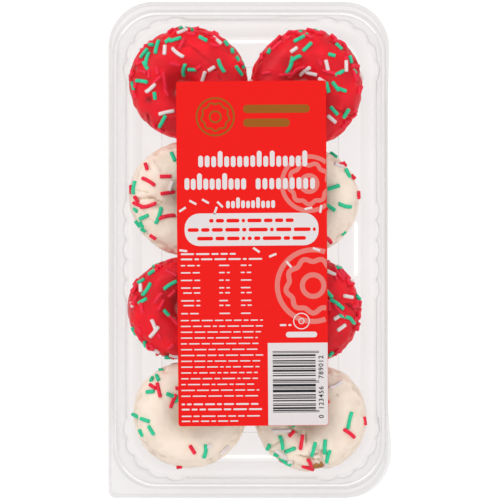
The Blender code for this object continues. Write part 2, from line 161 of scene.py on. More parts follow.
# Doughnuts: centre, half widths and height in millimetres, where the hole lies from the centre,
# the icing's colour, the seed of its unevenness, and where its sprinkles fell.
Doughnut = namedtuple("Doughnut", "x y half_x half_y height hole_x hole_y icing seed groups")
DOUGHNUTS = (
    Doughnut(-28.2, 77.1, 27.9, 26.0, 23.5, -2.1, -2.9, "red", 11,
             ((92, 38, 11), (160, 34, 11), (20, 24, 3), (245, 30, 2), (310, 30, 2))),
    Doughnut(26.4, 75.4, 26.3, 26.9, 23.0, -2.2, -1.4, "red", 12,
             ((105, 40, 12), (28, 36, 12), (-35, 18, 4), (210, 40, 2))),
    Doughnut(-28.9, 23.8, 27.2, 26.5, 22.5, 0.0, 0.5, "white", 13,
             ((150, 40, 10), (205, 36, 9), (60, 40, 4), (320, 40, 3))),
    Doughnut(24.7, 23.2, 25.9, 25.2, 22.5, 1.0, 0.0, "white", 14,
             ((60, 38, 13), (5, 26, 5), (-50, 30, 3), (180, 50, 4))),
    Doughnut(-29.5, -27.2, 27.1, 24.1, 23.0, 0.5, 0.0, "red", 15,
             ((165, 34, 9), (220, 36, 10), (100, 24, 3), (0, 60, 4))),
    Doughnut(26.0, -27.6, 25.8, 24.8, 23.5, -0.5, 0.0, "red", 16,
             ((45, 36, 12), (0, 30, 7), (-60, 30, 2), (180, 60, 4))),
    Doughnut(-27.8, -76.3, 26.6, 24.7, 22.5, -0.8, -0.5, "white", 17,
             ((125, 34, 8), (190, 26, 3), (280, 40, 4), (20, 50, 4))),
    Doughnut(28.4, -77.6, 26.1, 25.3, 23.0, -2.5, 0.8, "white", 18,
             ((235, 38, 12), (285, 26, 4), (-15, 30, 3), (100, 50, 4))),
)
HOLE_RADIUS = 4.2 * MM
BULGE_HEIGHT = 0.45
ROUND_TOP = 2.1
ROUND_SIDES = 2.2
FULL_BOTTOM = 2.7
FLAT_BELOW = 0.87
ICING_THICKNESS = 0.9 * MM
CAKE_SHRINK = ICING_THICKNESS + GAP
CAKE_UNDERSIDE_SHRINK = 0.7 * MM
UNEVENNESS = 0.02
OUTLINE_WAVES = (2, 3, 5)
WAVES_LOWERED = 0.4
TILT = 0.03
ICING_EDGE_LEVELS = (-5, 182)
CAKE_TOP_LEVELS = (182, -5)
CAKE_UNDER_LEVELS = (345, 195)
DOUGHNUT_STEPS = 280
ICING_STEPS = 88
INSIDE_STEPS = ICING_STEPS // 4
INSIDE_MARGIN = 4
CAKE_STEPS = 28
EDGE_FADE_STEPS = 2.5
# How far the icing's edge wanders, in degrees of the section, and how ragged its chips are
EDGE_WANDER = 5
EDGE_WAVES = 2.2
WAVES_APART = 3.1
CHIP_GRAIN = 14
CHIP_RAGGED = 0.35
# The skin's lumps: how coarse each kind is and how high, in millimetres
LUMPS = ((75, 0.55), (190, 0.32), (420, 0.12), (900, 0.04))
CRUMBS = ((420, 0.16), (1300, 0.08))
CRUMBS_LOWERED = 0.1
# The outer side is more ragged below this level, and bulges out by no more than this
RAGGED_BELOW = 55
RAGGED_FADE = 25
RAGGED = (300, 1.2)
MOST_OUTWARD = 0.3

# Sprinkles
SPRINKLE_RADIUS = 0.9 * MM
SPREAD_TO_SIGMA = 0.6
SPRINKLE_RAISED = 0.3 * MM
SPRINKLE_SIDES = 10
EDGE_MARGIN = 0.4 * MM
PROBE_HEIGHT = 4 * MM
BENT_FROM = 6 * MM
SPRINKLE_BEND = 0.09
CLEAR_OF_DOUGHNUT = 1.4 * MM
CLEAR_OF_WALL = 1.5 * MM
# The long ones, the shorter ones that fell in the same places, and short ones that stick out round
# the edge: the factor of the seed, how many there are for each one in the doughnut's groups, and
# their levels on the section, lengths and spacing
Lot = namedtuple("Lot", "seed share levels lengths spacing")
LONG = Lot(100, {"red": 1, "white": 1}, (32, 128), (3.6 * MM, 8.4 * MM), 2.6 * MM)
SHORT = Lot(1000, {"red": 1.2, "white": 0.25}, (20, 125), (2.8 * MM, 5.6 * MM), 2.8 * MM)
OUTER = Lot(333, {"red": 1.3, "white": 0.3}, (14, 42), (2.2 * MM, 4.4 * MM), 0)
KIND_SEED = 7
SUGARS = ("green", "white", "crimson")
SUGAR_WEIGHTS = {"red": (36, 22, 42), "white": (47, 12, 41)}
OUTER_SUGAR_WEIGHTS = {"red": (16, 12, 72), "white": (48, 12, 40)}
# A rod's width along its length, as shares of its radius and half its length
ROD_PROFILE = (
    (-1, 0.72), (-0.95, 0.97), (-0.6, 1), (-0.2, 1), (0.2, 1), (0.6, 1), (0.95, 0.97), (1, 0.72),
)

# The marks are also written to the icing's mesh, and its material is painted darker where they are
# deep and in the skin's hollows: painted shade
PAINTED_SHADE_ATTRIBUTE = "marks"
MARKS_WITHIN = 27 * MM
MARK_REACH = 1.6
DEEPEST_MARK = 0.85 * ICING_THICKNESS
SHADE_DARKEST_AT = 0.8 * MM
HOLLOWS_SHADE = 0.5
CRACK_GRAIN = 900
CRACK_ENDS = 0.3

# Marks in the icing: place in the photograph's pixels, half width in pixels, and depth in mm
# (a lump is a negative depth)
DENTS = (
    (148.5, 99.5, 4.5, 1.0), (303, 57, 8.5, -1.5), (135, 66, 5, 0.4), (176, 87, 6, -1.3),
    (186, 79, 6, -1.3), (286, 62, 9, 0.3), (150, 165, 9, -0.5), (142, 190, 8, -0.5),
    (158, 205, 6, 0.5), (352, 195, 9, -0.4), (140, 297, 7, 0.5), (158, 310, 6, -0.5),
    (350, 306, 4, 0.7), (346, 322, 8, -0.5), (312, 446, 8, -0.9), (262, 452, 3, -1.0),
    (271, 463, 3, -1.0), (285, 468, 3.5, -0.9), (259, 440, 3, 0.8), (277, 457, 3, 0.8),
    (292, 463, 3, 0.8), (268, 444, 4, -1.1), (301, 438, 3.5, -1.3), (282, 448, 6, -0.9),
    (272, 452, 4, -0.8), (337, 395, 2, 0.6),
)
# Cracks: from and to in pixels, half width in pixels and depth in mm (a ridge's is negative). A
# crack just beside a ridge is painted shade that stands for the ridge's shadow
CRACKS = (
    (129, 67, 145, 72, 1.3, 1.2), (147, 112, 149, 124, 1.1, 0.9), (176, 47, 190, 45, 1.2, 0.6),
    (190, 45, 214, 66, 1.2, 0.55), (214, 66, 222, 82, 1.2, 0.5), (345, 303, 358, 309, 1.2, 1.0),
    (352, 309, 356, 314, 1.0, 0.8), (331, 108, 360, 119, 1.2, 0.7), (136, 190, 150, 193, 1.2, 0.7),
    (144, 160, 152, 172, 1.2, 0.6), (148, 196, 166, 204, 1.2, 0.6), (296, 455, 322, 461, 1.3, 1.0),
    (322, 449, 321, 460, 1.2, 0.9), (136, 132, 141, 141, 1.2, 0.7), (271, 447, 284, 440, 1.2, 0.7),
    (265, 447, 284, 449, 1.5, -1.1), (265, 450, 284, 452.5, 1.1, 0.9),
    (302, 431, 303, 446, 1.5, -1.1), (305.5, 432, 306, 446, 1.1, 0.8),
    (309, 452, 320, 450, 1.5, -0.9), (320, 450, 322, 440, 1.3, -0.8),
    (288, 425, 299, 433, 1.3, 0.9), (309, 455.5, 319, 453.5, 1.1, 0.9),
    (136, 196, 156, 194, 1.4, -0.9), (137, 199, 157, 197.5, 1.1, 0.8),
    (152, 160, 160, 172, 1.5, -0.8), (141, 214, 158, 222, 1.4, -0.8),
)
# Chips: doughnut number, direction in degrees, half width in degrees, and how many degrees of the
# section the icing's edge stands back
CHIPS = (
    (8, 279, 9, 56), (8, 66, 10, 14), (7, 129, 9, 14), (8, 100, 8, 7),
)

# Colours, linear
RED_ICING = (0.95, 0.004, 0.018)
# Painted shade: the red icing's colour deep in its marks and hollows
RED_PAINTED_SHADE = (0.34, 0.001, 0.006)
WHITE_ICING = (0.98, 0.84, 0.71)
# Painted shade: the white icing's colour deep in its marks and hollows
WHITE_PAINTED_SHADE = (0.62, 0.46, 0.31)
CRUST = (0.56, 0.25, 0.06)
GREEN = (0.024, 0.65, 0.34)
WHITE_SUGAR = (0.85, 0.77, 0.765)
CRIMSON = (0.95, 0.012, 0.05)
LABEL_RED = (0.79, 0.0105, 0.0085)
LABEL_BACK = (0.8, 0.78, 0.76)
OFF_WHITE = (0.71, 0.66, 0.66)
BROWN_GOLD = (0.31, 0.1, 0.011)
CORAL = (0.71, 0.19, 0.165)
INK = (0.02, 0.02, 0.022)
SHEET_GREY = (0.85, 0.83, 0.83)
SHEET_HAZE = (0.55, 0.53, 0.53)
# Painted shade: the grey of the sheet's finest bends and of its rim
SHEET_PAINTED_SHADE = (0.36, 0.34, 0.34)
# Painted highlight: the colour of the glowing bends
SHEET_HIGHLIGHT = (0.97, 0.97, 0.97)
SHEET_TINT = (0.984, 0.979, 0.979)
FLOOR_WHITE = (0.3, 0.3, 0.3)
FLOOR_GLOW = 0.8
# Painted highlight: how much the brightest bends glow
HIGHLIGHT_GLOW = 0.5

# Materials: how far light goes into the icing, and how the sheet gets hazier and greyer edge-on, a
# painted shade
SCATTER_WEIGHT = 0.08
SCATTER_DEPTH = 1 * MM
RED_SCATTER = (1.0, 0.15, 0.1)
WHITE_SCATTER = (1.0, 0.7, 0.45)
NOISE_RANGE = (0.35, 0.65)
EDGE_ON_BLEND = 0.05
EDGE_ON_RANGE = (0.06, 0.35)
# Places of the Mix node's sockets for colours
MIX_FACTOR, MIX_FIRST, MIX_SECOND, MIX_RESULT = 0, 6, 7, 2

# The print on the label, in millimetres from its top left corner, right and down
LABEL_SIZE = (69.1, 158.9)
LABEL_CENTRE = (1.2 * MM, -1.6 * MM)
LABEL_TURN = math.radians(0.43)
LABEL_CORNER = 1.2
INK_MARGIN = 0.15
INK_RIGHT, INK_FOOT = (side - INK_MARGIN for side in LABEL_SIZE)
INK_THICKNESS = 0.04 * MM
# Layers of ink. Where two cross, the higher one shows
BEHIND, PLAIN, OVER = 0, 2, 3
INK_SLOTS = {
    "print_white": "white_ink", "print_gold": "gold_ink", "print_coral": "coral_ink",
    "print_ink": "black_ink", "print_red": "label_print",
}
CORNER_STEPS = 6
CIRCLE_STEPS = 72
RING_WAVES = 9
RING_HOLE, RING_ICING, RING_WAVE = 0.3, 0.72, 0.05
# Words: shortest, longest and the gap between two. A last one needs LAST_WORD of room
WORDS = (1.6, 6.5, 0.9)
LARGER_WORDS = (1.6, 9.0, 1.0)
LONGER_WORDS = (1.6, 7.0, 0.9)
SHORTER_WORDS = (1.6, 5.0, 0.9)
LAST_WORD = 1.0
# Lines of large print: left, right, base, height and pitch
TITLE_LINES = (
    (10.0, 61.0, 39.6, 7.4, 3.0), (3.6, 32.6, 50.0, 7.6, 3.05), (36.4, 64.6, 50.0, 7.6, 3.05),
    (22.7, 45.8, 58.6, 5.0, 2.35),
)
TITLE_HEIGHTS = (0.68, 0.68, 0.72, 1.0)
TITLE_STROKE = 0.74
# The white panel, and its lines: left, right and middle
PANEL_BAR = (3.5, 60.9, 65.2, 75.9)
PANEL_RADIUS = 6.8
PANEL_LINES = ((14.8, 53.8, 64.3), (4.9, 63.9, 68.5), (9.2, 59.4, 72.5))
# Printed sprinkles: place and heading
DASHES = (
    (7.4, 55.8, 28), (13.2, 55.3, 30), (19.9, 56.8, 45), (2.6, 59.0, -32), (17.8, 59.6, -70),
    (60.6, 58.9, -12), (66.3, 59.2, -80), (64.2, 77.8, 20), (2.8, 78.0, 8), (36.5, 77.9, 35),
    (44.0, 80.4, -22), (51.4, 84.6, 50),
)
DASH_SIZE = (3.6, 1.0)
# The table's rows, which of them stand in a little, and the text below it
TABLE_ROWS = (84.9, 88.2, 91.7, 95.2, 97.5, 101.1, 103.3, 107.0)
ROWS_STOOD_IN = (4, 6)
TEXT_TOP, TEXT_PITCH, TEXT_LINES = 110.2, 2.68, 14
TEXT_RIGHT = (34.5, 39.4)
# Lines above the table and below the text: left, right, middle and height
FIRST_LINES = ((1.6, 27.0, 79.6, 0.8), (1.6, 39.5, 82.0, 0.8))
LAST_LINES = (
    (1.5, 38.8, 148.8, 0.8), (1.5, 38.8, 151.2, 0.8), (1.5, 37.6, 154.3, 0.6),
    (1.5, 28.0, 156.6, 0.6),
)
# The bar code: its panel's left and top, where its bars start and end, and its module
CODE_PANEL = (41.4, 120.8)
CODE_LEFT, BARS_RIGHT, GUARDS_RIGHT = 43.6, 63.4, 65.0
CODE_TOP = 124.6
CODE_MODULE = 28.2 / 95
MODULES = 7
# Plain numbers beside it: the text and how far down it starts
NUMBERS = (("0", 155.6), ("123456", 151.6), ("789012", 137.4))
NUMBERS_RIGHT = 66.9
NUMBER_HEIGHT = 2.35 * MM
FONT_TO_HEIGHT = 1.35
NUMBER_SPACING = 1.15
NUMBER_RAISED = 1.4 * INK_THICKNESS
NUMBER_WEIGHT = 0.05 * MM

# Stage
WORLD_STRENGTH = 0.87
LIGHT_SIZE = (0.7, 0.7)
LIGHTS = (("key", (-0.7, 0.9, 1.3), 8), ("fill", (0.9, -0.7, 1.2), 2.5))
FLOOR_HALF = 4
FLOOR_DROP = 0.02 * MM


# Materials
def set_inputs(tree, node, inputs):
    """Gives inputs their values, or links them where the output of another node is given."""
    for key, value in inputs.items():
        if isinstance(value, bpy.types.NodeSocket):
            tree.links.new(value, node.inputs[key])
        else:
            node.inputs[key].default_value = value


def new_material(name, roughness, specular):
    made = bpy.data.materials.new(name)
    made.use_nodes = True
    tree = made.node_tree
    shader = tree.nodes["Principled BSDF"]
    set_inputs(tree, shader, {"Roughness": roughness, "Specular IOR Level": specular})
    return made, tree, shader


def add_node(tree, kind, inputs=(), **settings):
    made = tree.nodes.new(kind)
    for key, value in settings.items():
        setattr(made, key, value)
    set_inputs(tree, made, dict(inputs))
    return made


def object_noise(tree, scale, detail=3.0):
    place = add_node(tree, "ShaderNodeTexCoord").outputs["Object"]
    inputs = {"Vector": place, "Scale": scale, "Detail": detail}
    return add_node(tree, "ShaderNodeTexNoise", inputs).outputs["Fac"]


def colour_between(tree, shader, factor, dark, light):
    """Base colour between two, by the factor."""
    ramp = add_node(tree, "ShaderNodeValToRGB", {"Fac": factor})
    for stop, place, colour in zip(ramp.color_ramp.elements, NOISE_RANGE, (dark, light)):
        stop.position = place
        stop.color = (*colour, 1)
    set_inputs(tree, shader, {"Base Color": ramp.outputs["Color"]})


def colour_toward(tree, shader, factor, colour):
    """Takes the base colour toward another one by this factor."""
    before = shader.inputs["Base Color"].links[0].from_socket
    inputs = {MIX_FACTOR: factor, MIX_FIRST: before, MIX_SECOND: (*colour, 1)}
    mixed = add_node(tree, "ShaderNodeMix", inputs, data_type="RGBA")
    set_inputs(tree, shader, {"Base Color": mixed.outputs[MIX_RESULT]})


def add_bump(tree, shader, height, strength, distance):
    inputs = {"Height": height, "Strength": strength, "Distance": distance}
    bump = add_node(tree, "ShaderNodeBump", inputs)
    set_inputs(tree, shader, {"Normal": bump.outputs["Normal"]})


def set_colour_and_glow(tree, shader, colour, glow):
    set_inputs(tree, shader, {
        "Base Color": (*colour, 1), "Emission Color": (1, 1, 1, 1), "Emission Strength": glow,
    })


def mottled(name, colour, darker, roughness, scale, bump_scale, bump_depth, specular):
    """A colour that varies softly over the surface, with a fine relief."""
    made, tree, shader = new_material(name, roughness, specular)
    shade = tuple(value * darker for value in colour)
    colour_between(tree, shader, object_noise(tree, scale), shade, colour)
    add_bump(tree, shader, object_noise(tree, bump_scale, 4), 0.5, bump_depth)
    return made


def icing(name, colour, darker, painted_shade_colour, scatter):
    """Satin icing that light goes a little way into, and that is painted darker in its marks and
    hollows as painted shade.
    """
    made = mottled(
        name, colour, darker, roughness=0.42, scale=80, bump_scale=900, bump_depth=0.00016,
        specular=0.17,
    )
    tree = made.node_tree
    shader = tree.nodes["Principled BSDF"]
    # Painted shade: toward the darker colour where the mesh's attribute is high
    marks = add_node(tree, "ShaderNodeAttribute", attribute_name=PAINTED_SHADE_ATTRIBUTE)
    colour_toward(tree, shader, marks.outputs["Fac"], painted_shade_colour)
    set_inputs(tree, shader, {
        "Subsurface Weight": SCATTER_WEIGHT, "Subsurface Radius": scatter,
        "Subsurface Scale": SCATTER_DEPTH,
    })
    return made


def sugar(name, colour, darker):
    """Pressed sugar, nearly matte."""
    return mottled(
        name, colour, darker, roughness=0.45, scale=500, bump_scale=3000, bump_depth=0.00004,
        specular=0.25,
    )


def printed(name, colour, darker=0.97):
    """Ink or paper: nearly even, and it hardly shines."""
    return mottled(
        name, colour, darker, roughness=0.5, scale=900, bump_scale=4000, bump_depth=0.00001,
        specular=0.08,
    )


def label_paper(name, colour, back):
    """Printed paper whose underside and edges are bare."""
    made = printed(name, colour)
    tree = made.node_tree
    normal = add_node(tree, "ShaderNodeTexCoord").outputs["Normal"]
    up = add_node(tree, "ShaderNodeSeparateXYZ", {"Vector": normal}).outputs["Z"]
    not_up = add_node(tree, "ShaderNodeMath", {0: up, 1: 0.5}, operation="LESS_THAN")
    colour_toward(tree, tree.nodes["Principled BSDF"], not_up.outputs["Value"], back)
    return made


def clear_plastic(name, colour, haze, haze_edge_on, glow=0):
    """A thin clear sheet: hazier and greyer the more edge-on it is seen, as painted shade, and it
    tints what is behind; any glow given is a painted highlight.
    """
    made, tree, shader = new_material(name, roughness=0.12, specular=1.0)
    set_colour_and_glow(tree, shader, colour, glow)
    add_bump(tree, shader, object_noise(tree, 70, 2), 0.15, 0.0006)
    through = add_node(tree, "ShaderNodeBsdfTransparent", {"Color": (*SHEET_TINT, 1)})
    edge_on = add_node(tree, "ShaderNodeLayerWeight", {"Blend": EDGE_ON_BLEND})
    low, high = EDGE_ON_RANGE
    amount = add_node(tree, "ShaderNodeMapRange", {
        "Value": edge_on.outputs["Facing"], "From Min": low, "From Max": high,
        "To Min": haze, "To Max": haze_edge_on,
    })
    mix = add_node(tree, "ShaderNodeMixShader", {
        "Fac": amount.outputs["Result"], 1: through.outputs["BSDF"], 2: shader.outputs["BSDF"],
    })
    set_inputs(tree, tree.nodes["Material Output"], {"Surface": mix.outputs["Shader"]})
    return made


# Meshes
def join_rings(bm, ring, after):
    for i in range(len(ring)):
        j = (i + 1) % len(ring)
        bm.faces.new((ring[i], ring[j], after[j], after[i]))


def add_to_scene(made):
    bpy.context.scene.collection.objects.link(made)
    return made


def new_object(name, bm, surfaces):
    """An object with this mesh, shaded smooth."""
    mesh = bpy.data.meshes.new(name)
    bm.to_mesh(mesh)
    bm.free()
    for surface in surfaces:
        mesh.materials.append(surface)
    mesh.shade_smooth()
    return add_to_scene(bpy.data.objects.new(name, mesh))


def give_place(made, body, slot, node):
    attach(made, body)
    if node:
        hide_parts(node)


def finish_piece(name, bm, surface, body, slot, node=None, sharp_from=None):
    """A piece on its body, with edges sharp from this angle, in place of a node if one is named."""
    bmesh.ops.recalc_face_normals(bm, faces=bm.faces)
    made = new_object(name, bm, [surface])
    if sharp_from:
        made.data.set_sharp_from_angle(angle=math.radians(sharp_from))
    give_place(made, body, slot, node)
    return made


# The formed sheets
Station = namedtuple("Station", "on_side place lobe")


def lobe_at(step):
    across = (step % FLUTE_STEPS) / FLUTE_STEPS - 0.5
    return 1 - 4 * across * across


def stations():
    """The places round a quarter of the box, dense enough for its flutes."""
    made = []
    half_group = FLUTES_IN_GROUP * FLUTE_STEPS // 2
    for step in range(half_group + 1):
        along = step * SIDE_FLUTE_PITCH / FLUTE_STEPS
        made.append(Station(True, along, lobe_at(step + FLUTE_STEPS // 2)))
    first, last = FLUTES_IN_GROUP / 2 * SIDE_FLUTE_PITCH, LAST_SIDE_STATION
    for step in range(1, SIDE_STEPS):
        made.append(Station(True, first + (last - first) * step / SIDE_STEPS, 0))
    whole_group = FLUTES_IN_GROUP * FLUTE_STEPS
    for step in range(whole_group + 1):
        share = step / whole_group * (1 + 2 * CORNER_FLUTE_REACH) - CORNER_FLUTE_REACH
        made.append(Station(False, share, lobe_at(step)))
    return made


def station_point(shape, station, right, far, flute):
    half_x = shape.right if right else shape.left
    half_y = shape.far if far else shape.near
    radius = shape.tab if not right and not far else shape.radius
    arc = math.pi / 2 * radius
    if station.on_side:
        x, y, turn = half_x, station.place, 0
    else:
        turn = math.pi / 2 * min(max(station.place, 0), 1)
        x = half_x - radius + radius * math.cos(turn) - max(station.place - 1, 0) * arc
        y = half_y - radius + radius * math.sin(turn) + min(station.place, 0) * arc
    x += math.cos(turn) * station.lobe * flute
    y += math.sin(turn) * station.lobe * flute
    return Vector((x if right else -x, y if far else -y, 0))


def loop(shape, z, flute=0):
    """A closed outline at height z, counter-clockwise."""
    quarter_stations = stations()
    points = []
    for quarter in range(4):
        right, far = quarter in (0, 3), quarter in (0, 1)
        for station in quarter_stations if quarter in (0, 2) else reversed(quarter_stations):
            if station.on_side and station.place == 0 and quarter in (2, 3):
                continue
            points.append(station_point(shape, station, right, far, flute) + Vector((0, 0, z)))
    return points


def smooth_step(low, high, value):
    share = min(max((value - low) / (high - low), 0), 1)
    return share * share * (3 - 2 * share)


def rim_loop():
    """The tray's outer edge, turned down except at the hinge and swollen past the hinge's ends."""
    points = loop(RIM, FLANGE_Z)
    for point in points:
        along = abs(point.y)
        if point.x < RIM.right - RIM.radius:
            point.z -= RIM_DROP
            continue
        past_hinge = smooth_step(SWELL_FROM, SWELL_FULL, along)
        toward_side = smooth_step(RIM.right - RIM.radius, RIM.right - RIM.radius / 2, point.x)
        point.x += (SWELL_FAR if point.y > 0 else SWELL_NEAR) * past_hinge * toward_side
        dip = RIM_DROP * smooth_step(HINGE_FLAT_HALF, HINGE_HALF, along)
        point.z -= dip + (HINGE_CORNER_DROP - RIM_DROP) * past_hinge * toward_side
    return points


def rounded_bend(before, corner, after, reach):
    """Points round a bend in place of its corner, reach away from it at most."""
    into, out = before - corner, after - corner
    start = corner + into * min(reach / max(into.length, TINY), MOST_OF_BAND)
    end = corner + out * min(reach / max(out.length, TINY), MOST_OF_BAND)
    made = []
    for step in range(BEND_STEPS + 1):
        share = step / BEND_STEPS
        first, second = start.lerp(corner, share), corner.lerp(end, share)
        made.append(first.lerp(second, share))
    return made


def sheet_column(rows, i):
    """Points up one column of the sheet, and the look of the band that leads to each."""
    line = [row.loop[i] for row in rows]
    column, looks = [line[0]], []
    for at, row in enumerate(rows[1:], 1):
        if row.reach:
            bend = rounded_bend(line[at - 1], line[at], line[at + 1], row.reach)
        else:
            bend = [line[at]]
        look = row.bend(line[at]) if callable(row.bend) else row.bend
        looks += [row.band] + [look] * (len(bend) - 1)
        column += bend
    return column, looks


def sheet_mesh(rows):
    """A mesh through these rows, from the rim to the middle of the flat, which faces up."""
    bm = bmesh.new()
    columns, column_looks = [], []
    for i in range(len(rows[0].loop)):
        column, looks = sheet_column(rows, i)
        columns.append([bm.verts.new(point) for point in column])
        column_looks.append(looks)
    for column, following, looks in zip(columns, columns[1:] + columns[:1], column_looks):
        for at, look in enumerate(looks):
            face = bm.faces.new((column[at], following[at], following[at + 1], column[at + 1]))
            face.material_index = look
    flat = bm.faces.new([column[-1] for column in columns])
    flat.material_index = looks[-1]
    bmesh.ops.recalc_face_normals(bm, faces=bm.faces)
    bm.faces.ensure_lookup_table()
    if bm.faces[-1].normal.z < 0:
        bmesh.ops.reverse_faces(bm, faces=bm.faces)
    return bm


def formed_sheet(name, rows, surfaces, body, node):
    """A sheet of even thickness through these rows."""
    made = new_object(name, sheet_mesh(rows), surfaces)
    sheet = made.modifiers.new("Sheet", "SOLIDIFY")
    sheet.thickness = SHEET
    sheet.offset = -1
    sheet.solidify_mode = "NON_MANIFOLD"
    sheet.nonmanifold_thickness_mode = "CONSTRAINTS"
    give_place(made, body, "clear_plastic", node)


def step_look(point):
    """The lid's step has a glowing painted highlight at the ends of the box."""
    return PAINTED_HIGHLIGHT if abs(point.y) > HIGHLIGHT_STEP_FROM else HAZY


def foot_look(point):
    """The floor's bend has a glowing painted highlight at the ends of the box and at the middle of
    its hinge side.
    """
    at_end = abs(point.y) > HIGHLIGHT_FOOT_FROM
    by_hinge = point.x > 0 and abs(point.y) < HIGHLIGHT_FOOT_MIDDLE
    return PAINTED_HIGHLIGHT if at_end or by_hinge else CLEAR


def make_tray(surfaces):
    lower_wall = inset(WALL_LINE, TRAY_WALL_DRAFT)
    rows = [
        Row(rim_loop()),
        Row(loop(RIM_FOLD, FLANGE_Z), GREYER, TRAY_BEND, SHADED),
        Row(loop(inset(LID_STEP_FOOT, STEP_NESTING), FLANGE_Z), HAZY, TRAY_BEND, SHADED),
        Row(loop(inset(LID_STEP_TOP, STEP_NESTING), LEDGE_Z), HAZY, TRAY_BEND, HAZY),
        Row(loop(WALL_LINE, LEDGE_Z, FLUTE_DEPTH), HAZY, TRAY_BEND, SHADED),
        Row(loop(lower_wall, BEND_Z, FLUTE_DEPTH * FLUTE_FADED), FAINT),
    ]
    for step in range(1, FILLET_STEPS):
        turn = math.pi / 2 * step / FILLET_STEPS
        faded = FLUTE_DEPTH * FLUTE_FADED * max(1 - step / FLUTE_END_STEPS, 0)
        ring = inset(lower_wall, FLOOR_FILLET * (1 - math.cos(turn)))
        rows.append(Row(loop(ring, BEND_Z - (BEND_Z - FLOOR_Z) * math.sin(turn), faded), FAINT))
    rows += [
        Row(loop(inset(lower_wall, FLOOR_FILLET), FLOOR_Z), CLEAR, FOOT_BEND, foot_look),
        Row(loop(inset(PANEL_EDGE, -PANEL_SLOPE), FLOOR_Z), CLEAR, PANEL_FOOT_BEND, CLEAR),
        Row(loop(PANEL_EDGE, PANEL_Z), CLEAR, TRAY_BEND, SHADED),
        Row(loop(inset(PANEL_EDGE, PANEL_FLAT_INSET), PANEL_Z)),
    ]
    formed_sheet("tray_sheet", rows, surfaces, BASE, "tray")


def make_lid(surfaces):
    upper_wall = inset(WALL_LINE, LID_WALL_DRAFT)
    flange_z = FLANGE_Z + LID_OVER_TRAY
    ledge_z = LEDGE_Z + LID_OVER_TRAY
    faded = FLUTE_DEPTH * FLUTE_FADED
    rows = [
        Row(loop(LID_EDGE, flange_z)),
        Row(loop(LID_STEP_FOOT, flange_z), HAZY, LID_STEP_FOOT_BEND, SHADED),
        Row(loop(LID_STEP_TOP, ledge_z), HAZY, LID_STEP_TOP_BEND, step_look),
        Row(loop(WALL_LINE, ledge_z, FLUTE_DEPTH), HAZY, LID_WALL_FOOT_BEND, SHADED),
        Row(loop(upper_wall, FLUTES_FADE_Z, faded), CLEAR, FLUTES_FADE_BEND, CLEAR),
    ]
    for step in range(FILLET_STEPS):
        turn = math.pi / 2 * step / FILLET_STEPS
        ring = inset(upper_wall, LID_EDGE_FILLET * (1 - math.cos(turn)))
        rows.append(Row(loop(ring, LID_TOP_Z - LID_EDGE_FILLET * (1 - math.sin(turn)))))
    rows.append(Row(loop(inset(upper_wall, LID_EDGE_FILLET), LID_TOP_Z)))
    formed_sheet("lid_sheet", rows, surfaces, LID, "lid")


# Doughnuts
def rounded(value, power):
    return math.copysign(abs(value) ** (2 / power), value)


def outline_share(doughnut, turn):
    draw = random.Random(doughnut.seed)
    waves = sum(
        math.cos(order * turn + draw.uniform(0, 2 * math.pi)) / order for order in OUTLINE_WAVES
    )
    return 1 + UNEVENNESS * (waves - WAVES_LOWERED)


def section_point(doughnut, turn, level, shrink):
    """A point on the doughnut's section at this turn round the hole, moved in by shrink."""
    centre = Vector((doughnut.x, doughnut.y)) * MM
    hole = centre + Vector((doughnut.hole_x, doughnut.hole_y)) * MM
    direction = Vector((math.cos(turn), math.sin(turn)))
    reach = outline_share(doughnut, turn) * MM
    outer = centre + Vector((doughnut.half_x * direction.x, doughnut.half_y * direction.y)) * reach
    inner = hole + direction * HOLE_RADIUS
    middle, half = (outer + inner) / 2, (outer - inner) / 2
    angle = math.radians(level)
    flat = middle + half * rounded(math.cos(angle), ROUND_SIDES)
    flat -= half.normalized() * shrink * math.cos(angle)
    height = doughnut.height * MM * (1 + TILT * math.cos(turn - doughnut.seed))
    if math.sin(angle) > 0:
        rise = height * (1 - BULGE_HEIGHT) * rounded(math.sin(angle), ROUND_TOP)
        rise -= shrink * math.sin(angle)
    else:
        rise = height * BULGE_HEIGHT * rounded(math.sin(angle), FULL_BOTTOM) / FLAT_BELOW
    z = max(height * BULGE_HEIGHT + rise, 0)
    return Vector((*flat, PANEL_Z + GAP + z))


def ring_mesh(doughnut, section):
    """A closed ring through the section that section(turn) gives as (level, shrink) pairs."""
    bm = bmesh.new()
    rows = []
    for step in range(DOUGHNUT_STEPS):
        turn = 2 * math.pi * step / DOUGHNUT_STEPS
        points = (section_point(doughnut, turn, level, shrink) for level, shrink in section(turn))
        rows.append([bm.verts.new(point) for point in points])
    count = len(rows[0])
    for row, after in zip(rows, rows[1:] + rows[:1]):
        for i in range(count):
            j = (i + 1) % count
            bm.faces.new((row[i], after[i], after[j], row[j]))
    bmesh.ops.recalc_face_normals(bm, faces=bm.faces)
    bm.normal_update()
    return bm


def photo_point(x, y):
    """Where a pixel of the photograph lies on the box."""
    return Vector(((x - BOX_MIDDLE[0]) * PIXEL, (BOX_MIDDLE[1] - y) * PIXEL))


def marks_depth(flat, dents, cracks):
    """How deep the dents and cracks go at a point seen from above."""
    depth = 0
    for place, half, deep in dents:
        share = (flat - place).length / half
        if share < MARK_REACH:
            depth += deep * math.exp(-2 * share * share)
    for start, end, half, deep in cracks:
        along = end - start
        share = min(max((flat - start).dot(along) / along.length_squared, 0), 1)
        wander = noise.noise(Vector((flat.x, flat.y, 0)) * CRACK_GRAIN) * half
        away = abs((flat - start - along * share).length + wander) / half
        if away < MARK_REACH:
            strength = CRACK_ENDS + (1 - CRACK_ENDS) * (1 - abs(2 * share - 1) ** 4)
            depth += deep * math.exp(-2 * away * away) * strength
    return depth


